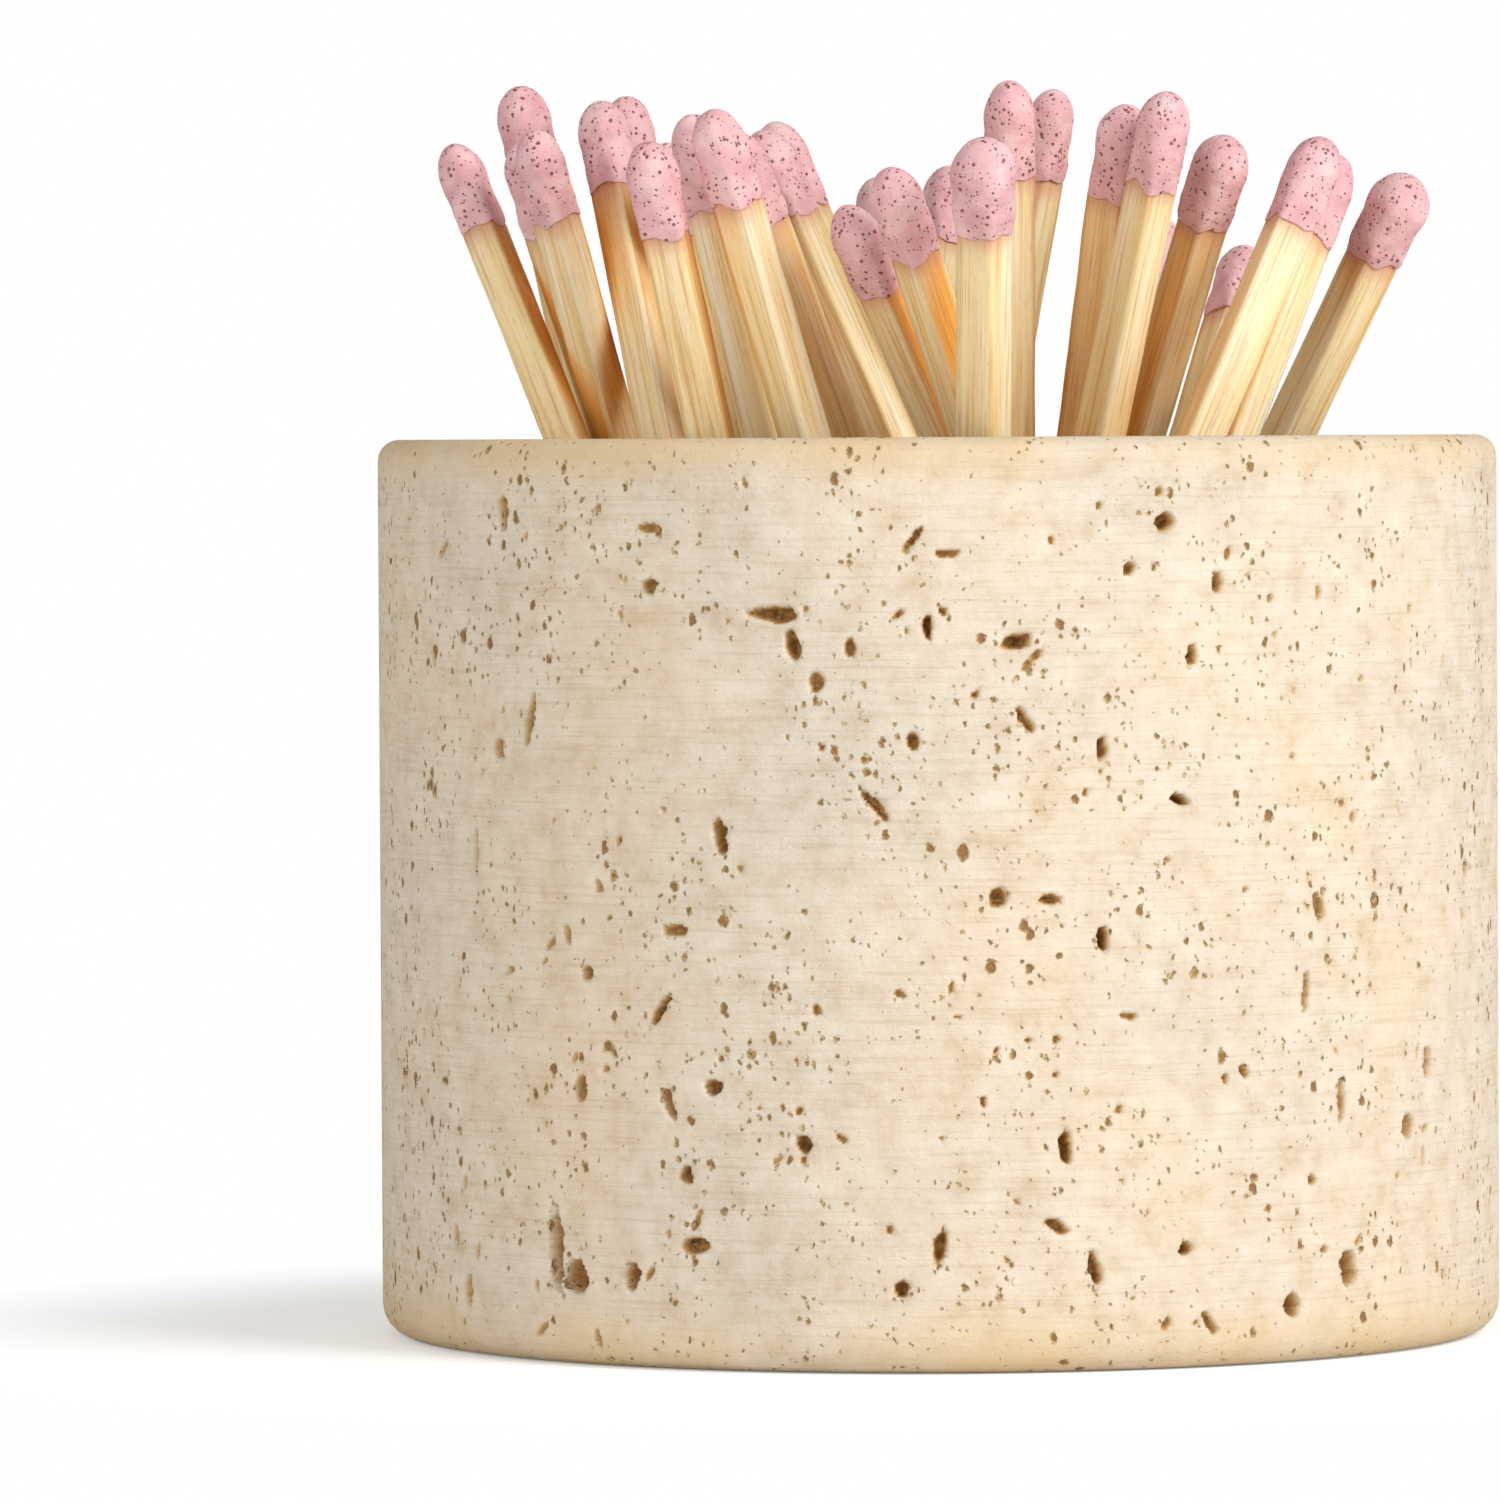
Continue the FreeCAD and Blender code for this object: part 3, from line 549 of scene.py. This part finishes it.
def sink_pits(points, pits):
    """The points with those in pits moved inwards, and how deep each went, 0 to 1."""
    depth_share = np.zeros(len(points))
    moved = points.copy()
    for pit in pits:
        out = pit.nearness(points)[0]
        for index in np.nonzero(out < 1.6)[0]:
            spot = Vector(points[index])
            ragged = noise.noise(spot * (0.9 / pit.half_wide) + Vector((pit.seed, 0, 0)))
            fine = noise.noise(spot * 5.0 + Vector((0, pit.seed, 0)))
            edge = out[index] * (1 + PIT_RAGGED * ragged + PIT_RAGGED_FINE * fine)
            if edge >= 1.0:
                continue
            fall = min(1.0, (1.0 - edge) / PIT_SLOPE)
            fall = fall * fall * (3 - 2 * fall)
            fall *= 0.85 + 0.3 * fine
            if fall > depth_share[index]:
                moved[index] = points[index] + np.array(pit.inward) * pit.depth * fall
                depth_share[index] = min(1.0, fall * min(1.0, 0.45 + pit.depth * 0.5))
    return moved, depth_share


def make_cup(material):
    """Turn the profile, make it finer where there are pits, and sink them."""
    mesh_edit = bmesh.new()
    verts = [mesh_edit.verts.new((radius, 0, height)) for radius, height in cup_profile()]
    edges = [mesh_edit.edges.new(pair) for pair in zip(verts, verts[1:])]
    bmesh.ops.spin(mesh_edit, geom=verts + edges, cent=(0, 0, 0), axis=(0, 0, 1),
                   angle=math.tau, steps=TURN_STEPS, use_merge=True)
    bmesh.ops.remove_doubles(mesh_edit, verts=mesh_edit.verts, dist=0.001)
    pits = all_pits()
    for reach, longest in REFINING:
        refine_near(mesh_edit, pits, reach, longest)
    bmesh.ops.recalc_face_normals(mesh_edit, faces=mesh_edit.faces)
    points, depth_share = sink_pits(coordinates(mesh_edit), pits)
    for vertex, point in zip(mesh_edit.verts, points):
        vertex.co = point
    finish_piece("stone_cup", mesh_edit, material, "cup", {"pit_depth": depth_share})


class MatchFrame:
    """Where a match stands, from its splint and head in the frame: foot, directions, sizes."""

    def __init__(self, number):
        self.number = number
        corners = self.corners(f"splint_{number:02d}")
        middle = corners.mean(axis=0)
        spread = corners - middle
        longest = np.linalg.svd(spread)[2][0]
        if longest[2] < 0:
            longest = -longest
        self.along = longest
        low_four = corners[np.argsort(spread @ longest)[:4]]
        first = low_four[0]
        others = sorted(low_four[1:], key=lambda corner: np.linalg.norm(corner - first))
        self.side = float(np.linalg.norm(others[0] - first))
        self.side_a = (others[0] - first) / self.side
        self.side_b = np.cross(self.along, self.side_a)
        self.foot = low_four.mean(axis=0)
        self.side_way = Vector(self.side_a + self.side_b).normalized()
        self.end_way = Vector(self.along)
        self.splint_length = float(((corners - self.foot) @ self.along).sum() / 4)
        head = self.corners(f"head_{number:02d}") - self.foot
        heights = head @ self.along
        self.head_low = float(heights.min())
        self.tip = float(heights.max())
        self.head_half = float(np.abs(head @ self.side_a).max())

    @staticmethod
    def corners(name):
        """The different points of a node."""
        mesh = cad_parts[name].data
        values = np.array([vertex.co for vertex in mesh.vertices]) / MM
        return np.unique(values.round(4), axis=0)

    def place(self, local):
        """Points given across, across and along the match, as points of the object."""
        across = local[:, :1] * self.side_a + local[:, 1:2] * self.side_b
        return self.foot + across + local[:, 2:] * self.along


def soft_noise(points, seed):
    """Smooth noise at each point, about -1 to 1."""
    shift = Vector((seed * 3.7, seed * 1.3, seed * 5.1))
    return np.array([noise.noise(Vector(point) + shift) for point in points])


def all_sticks():
    """One tree of the frame's splints and heads, to look for neighbours in."""
    corners, faces = [], []
    for name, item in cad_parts.items():
        if name == "cup":
            continue
        start = len(corners)
        corners.extend(vertex.co / MM for vertex in item.data.vertices)
        faces.extend([start + corner for corner in face.vertices] for face in item.data.polygons)
    return BVHTree.FromPolygons(corners, faces)


def between_stick_painted_shade(match, local, share, sticks):
    """Painted shade: how far each point's face is hemmed in by the other sticks, 0 to 1, from five looks
    outwards; the wood is tinted deep gold by it in place of the shade and bounce light between the
    sticks.
    """
    out = np.where(np.abs(share) > 0.98, np.sign(share), 0.0)
    points = match.place(local)
    sides = out[:, :1] * match.side_a + out[:, 1:2] * match.side_b
    painted_between_shade = np.zeros(len(local))
    for index in np.nonzero(local[:, 2] > match.head_low * 0.5)[0]:
        away = Vector(sides[index]).normalized()
        start = Vector(points[index]) + away * 0.3
        for aim in (Vector(), match.side_way, -match.side_way, match.end_way, -match.end_way):
            found, _, _, distance = sticks.ray_cast(start, (away + aim * 0.7).normalized(), PAINTED_SHADE_REACH)
            if found:
                painted_between_shade[index] += 0.2 * (1 - distance / PAINTED_SHADE_REACH) + 0.05
    return np.clip(painted_between_shade * 1.3, 0, 1)


def make_splint(match, material, sticks):
    """A split stick: a square bar whose faces and edges follow the torn fibres."""
    half = match.side / 2
    mesh_edit = bmesh.new()
    bmesh.ops.create_cube(mesh_edit, size=1.0)
    bmesh.ops.scale(mesh_edit, vec=(match.side, match.side, match.splint_length), verts=mesh_edit.verts)
    bmesh.ops.translate(mesh_edit, vec=(0, 0, match.splint_length / 2), verts=mesh_edit.verts)
    long_edges = [edge for edge in mesh_edit.edges if edge.calc_length() > match.splint_length * 0.9]
    bmesh.ops.subdivide_edges(mesh_edit, edges=long_edges, cuts=STICK_CUTS_ALONG, use_grid_fill=True)
    cross_edges = [edge for edge in mesh_edit.edges if abs(edge.calc_length() - match.side) < 0.01]
    bmesh.ops.subdivide_edges(mesh_edit, edges=cross_edges, cuts=STICK_CUTS_ACROSS, use_grid_fill=True)
    local = coordinates(mesh_edit)
    seed = match.number
    share = local[:, :2] / half
    corner = np.clip((np.abs(share).min(axis=1) - 0.55) / 0.45, 0, 1)
    torn = soft_noise(local * (0.9, 0.9, 0.35), seed)
    fibre = soft_noise(local * (2.6, 2.6, 0.12), seed + 50)
    pull = 1 - EDGE_TEAR * corner * (1 + torn) + FACE_TEAR * fibre
    # Inside the head the stick is worn narrower, so that the paste covers its corners
    inside = np.clip((local[:, 2] - match.head_low - 0.5) / 0.5, 0, 1)
    pull *= 1 - WORN_IN_HEAD * inside
    # The stick bows a little, and stays true at its two ends
    bow = np.sin(np.pi * local[:, 2] / match.splint_length) * STICK_BOW
    way = random.Random(seed).uniform(0, math.tau)
    shaped = local.copy()
    shaped[:, 0] = local[:, 0] * pull + bow * math.cos(way)
    shaped[:, 1] = local[:, 1] * pull + bow * math.sin(way)
    for vertex, point in zip(mesh_edit.verts, match.place(shaped)):
        vertex.co = point
    grain = local + np.array((seed * 7.3, seed * 4.1, seed * 61.0))
    # Painted shade: deeper gold on the faces that look towards other sticks, where shade and bounce
    # light fall between them
    painted_between_shade = between_stick_painted_shade(match, local, share, sticks)
    stain = np.clip(1 - (match.head_low - local[:, 2]) / STAIN_REACH, 0, 1)
    values = {"grain_place": grain, "head_stain": stain, "painted_between_shade": painted_between_shade}
    finish_piece(f"stick_{seed:02d}", mesh_edit, material, f"splint_{seed:02d}", values)


def head_outline(part, match, full, neck):
    """Height along the match, half width and how square it is, by the power of its outline.

    The part runs from 0 at the tip to 1 at the closed underside.
    """
    length = match.tip - match.head_low
    widest = match.head_low + length * (1 - DOME_SHARE)
    if part <= OUTSIDE_SHARE / 2:
        angle = part / (OUTSIDE_SHARE / 2) * math.pi / 2
        return widest + length * DOME_SHARE * math.cos(angle), full * math.sin(angle), ROUND_POWER
    if part <= OUTSIDE_SHARE:
        down = (part - OUTSIDE_SHARE / 2) / (OUTSIDE_SHARE / 2)
        ease = 0.5 * down + 0.5 * down * down
        power = ROUND_POWER + (SQUARE_POWER - ROUND_POWER) * down ** 3
        return widest + (match.head_low - widest) * down, full + (neck - full) * ease, power
    inside = (part - OUTSIDE_SHARE) / (1 - OUTSIDE_SHARE)
    return match.head_low + 0.5 * inside, neck * (1 - inside), SQUARE_POWER


def make_head(match, material):
    """A dipped head: an egg round the stick's end, lumpy, pored, with a ragged lower edge."""
    chance = random.Random(400 + match.number)
    mesh_edit = bmesh.new()
    bmesh.ops.create_uvsphere(mesh_edit, u_segments=HEAD_SEGMENTS, v_segments=HEAD_RINGS, radius=1.0)
    ball = coordinates(mesh_edit)
    full = match.head_half
    neck = match.side / 2 + NECK_COAT
    local = np.zeros_like(ball)
    lower = np.zeros(len(ball))
    for index, spot in enumerate(ball):
        part = math.acos(max(-1.0, min(1.0, spot[2]))) / math.pi
        height, half, power = head_outline(part, match, full, neck)
        turn = math.atan2(spot[1], spot[0])
        reach = half / (abs(math.cos(turn)) ** power + abs(math.sin(turn)) ** power) ** (1 / power)
        local[index] = (reach * math.cos(turn), reach * math.sin(turn), height)
        lower[index] = max(0.0, 1 - abs(part - OUTSIDE_SHARE) / 0.3)
    lumps = soft_noise(local * 0.55, match.number)
    small = soft_noise(local * 1.7, match.number + 30)
    outside = np.clip((local[:, 2] - match.head_low) / 0.6, 0, 1)
    swell = 1 + (LARGE_LUMPS * lumps + SMALL_LUMPS * small) * outside
    local[:, :2] *= swell[:, None]
    # The paste ran unevenly, so the lower edge goes up and down round the stick
    round_the_neck = local.copy()
    round_the_neck[:, 2] = 0
    local[:, 2] += lower * (0.5 * soft_noise(round_the_neck * 0.9, match.number + 60) - 0.05)
    depth = np.zeros(len(local))
    normals = local - np.array((0, 0, match.head_low + (match.tip - match.head_low) * 0.5))
    normals /= np.linalg.norm(normals, axis=1)[:, None] + 1e-9
    for _ in range(HEAD_PORES):
        centre = local[chance.randrange(len(local))]
        if centre[2] < match.head_low + 0.5:
            continue
        radius = chance.uniform(*PORE_RADIUS)
        away = np.linalg.norm(local - centre, axis=1) / radius
        fall = np.clip(1 - away, 0, 1) ** 0.6
        depth = np.maximum(depth, fall)
    sunk = local - normals * (depth * PORE_DEPTH)[:, None]
    for vertex, point in zip(mesh_edit.verts, match.place(sunk)):
        vertex.co = point
    grain = local + np.array((match.number * 9.1, match.number * 5.3, match.number * 3.7))
    label = f"{match.number:02d}"
    values = {"grain_place": grain, "pore_depth": depth}
    finish_piece(f"paste_{label}", mesh_edit, material, f"head_{label}", values)


def area_light(name, place, aim, power):
    """A soft square white light that looks at a point."""
    data = bpy.data.lights.new(name, "AREA")
    data.shape = "SQUARE"
    data.size = LAMP_SIZE * MM
    data.energy = power
    light = bpy.data.objects.new(name, data)
    light.location = Vector(place) * MM
    light.rotation_euler = (Vector(aim) - Vector(place)).to_track_quat("-Z", "Y").to_euler()
    bpy.context.scene.collection.objects.link(light)


def make_floor():
    """A white floor that keeps the soft shadow near the cup, and is plain white further off."""
    mesh_edit = bmesh.new()
    bmesh.ops.create_grid(mesh_edit, x_segments=1, y_segments=1, size=4000 * MM)
    mesh = bpy.data.meshes.new("floor")
    mesh_edit.to_mesh(mesh)
    mesh_edit.free()
    floor = bpy.data.objects.new("floor", mesh)
    floor.location.z = -0.02 * MM
    bpy.context.scene.collection.objects.link(floor)
    material, tree = new_material("white_floor")
    seen = add(tree, "ShaderNodeLightPath").outputs
    place = add(tree, "ShaderNodeTexCoord").outputs["Object"]
    away = add(tree, "ShaderNodeVectorMath", {0: place}, operation="LENGTH").outputs["Value"]
    far = add(tree, RANGE, {0: away, 1: SHADOW_ENDS[0] * MM, 2: SHADOW_ENDS[1] * MM}, **SMOOTH)
    lit = add(tree, "ShaderNodeBsdfDiffuse", {"Color": srgb("#F2F1EF")})
    lift = add(tree, "ShaderNodeEmission", {"Color": (1, 1, 1, 1), "Strength": FLOOR_LIFT})
    near = add(tree, "ShaderNodeAddShader", {0: lit, 1: lift})
    white = add(tree, "ShaderNodeEmission", {"Color": (1, 1, 1, 1), "Strength": 1.0})
    shown = add(tree, "ShaderNodeMixShader", {0: far, 1: near, 2: white})
    both = add(tree, "ShaderNodeMixShader", {0: seen["Is Camera Ray"], 1: lit, 2: shown})
    add(tree, "ShaderNodeOutputMaterial", {"Surface": both})
    floor.data.materials.append(material)


def make_world():
    """White where the camera sees it, a plain soft light on the object."""
    world = bpy.data.worlds.new("studio")
    world.use_nodes = True
    tree = world.node_tree
    tree.nodes.clear()
    seen = add(tree, "ShaderNodeLightPath").outputs
    strength = add(tree, MATH, {0: seen["Is Camera Ray"], 1: ROOM_LIGHT}, operation="MAXIMUM")
    sky = add(tree, "ShaderNodeBackground", {"Color": (1, 1, 1, 1), "Strength": strength})
    add(tree, "ShaderNodeOutputWorld", {"Surface": sky})
    bpy.context.scene.world = world


def make_camera():
    """The photograph's camera: level with the rim, turned so the cup sits right of the middle."""
    data = bpy.data.cameras.new("camera")
    data.sensor_width = SENSOR
    data.lens = FOCAL_PIXELS / FRAME_PIXELS * SENSOR
    data.clip_end = 50
    camera = bpy.data.objects.new("camera", data)
    camera.location = Vector((0, -CAMERA_AWAY, CUP_HEIGHT)) * MM
    down = math.atan((FRAME_PIXELS / 2 - RIM_ROW) / FOCAL_PIXELS)
    aside = math.atan((AXIS_COLUMN - FRAME_PIXELS / 2) / FOCAL_PIXELS)
    turned = Matrix.Rotation(aside, 4, "Z") @ Matrix.Rotation(math.pi / 2 - down, 4, "X")
    turned = turned @ Matrix.Rotation(math.radians(ROLL_DEGREES), 4, "Z")
    camera.rotation_euler = turned.to_euler()
    bpy.context.scene.collection.objects.link(camera)
    bpy.context.scene.camera = camera


make_camera()
make_world()
make_floor()
area_light("key", (380, -300, 300), (0, 0, 30), KEY_POWER)
area_light("fill", (-300, -420, 160), (0, 0, 40), FILL_POWER)
bpy.context.scene.view_settings.view_transform = "Standard"

stone = travertine()
wood = split_wood()
paste = head_paste()
make_cup(stone)
sticks = all_sticks()
match_count = sum(1 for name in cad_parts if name.startswith("splint_"))
for number in range(1, match_count + 1):
    match = MatchFrame(number)
    make_splint(match, wood, sticks)
    make_head(match, paste)
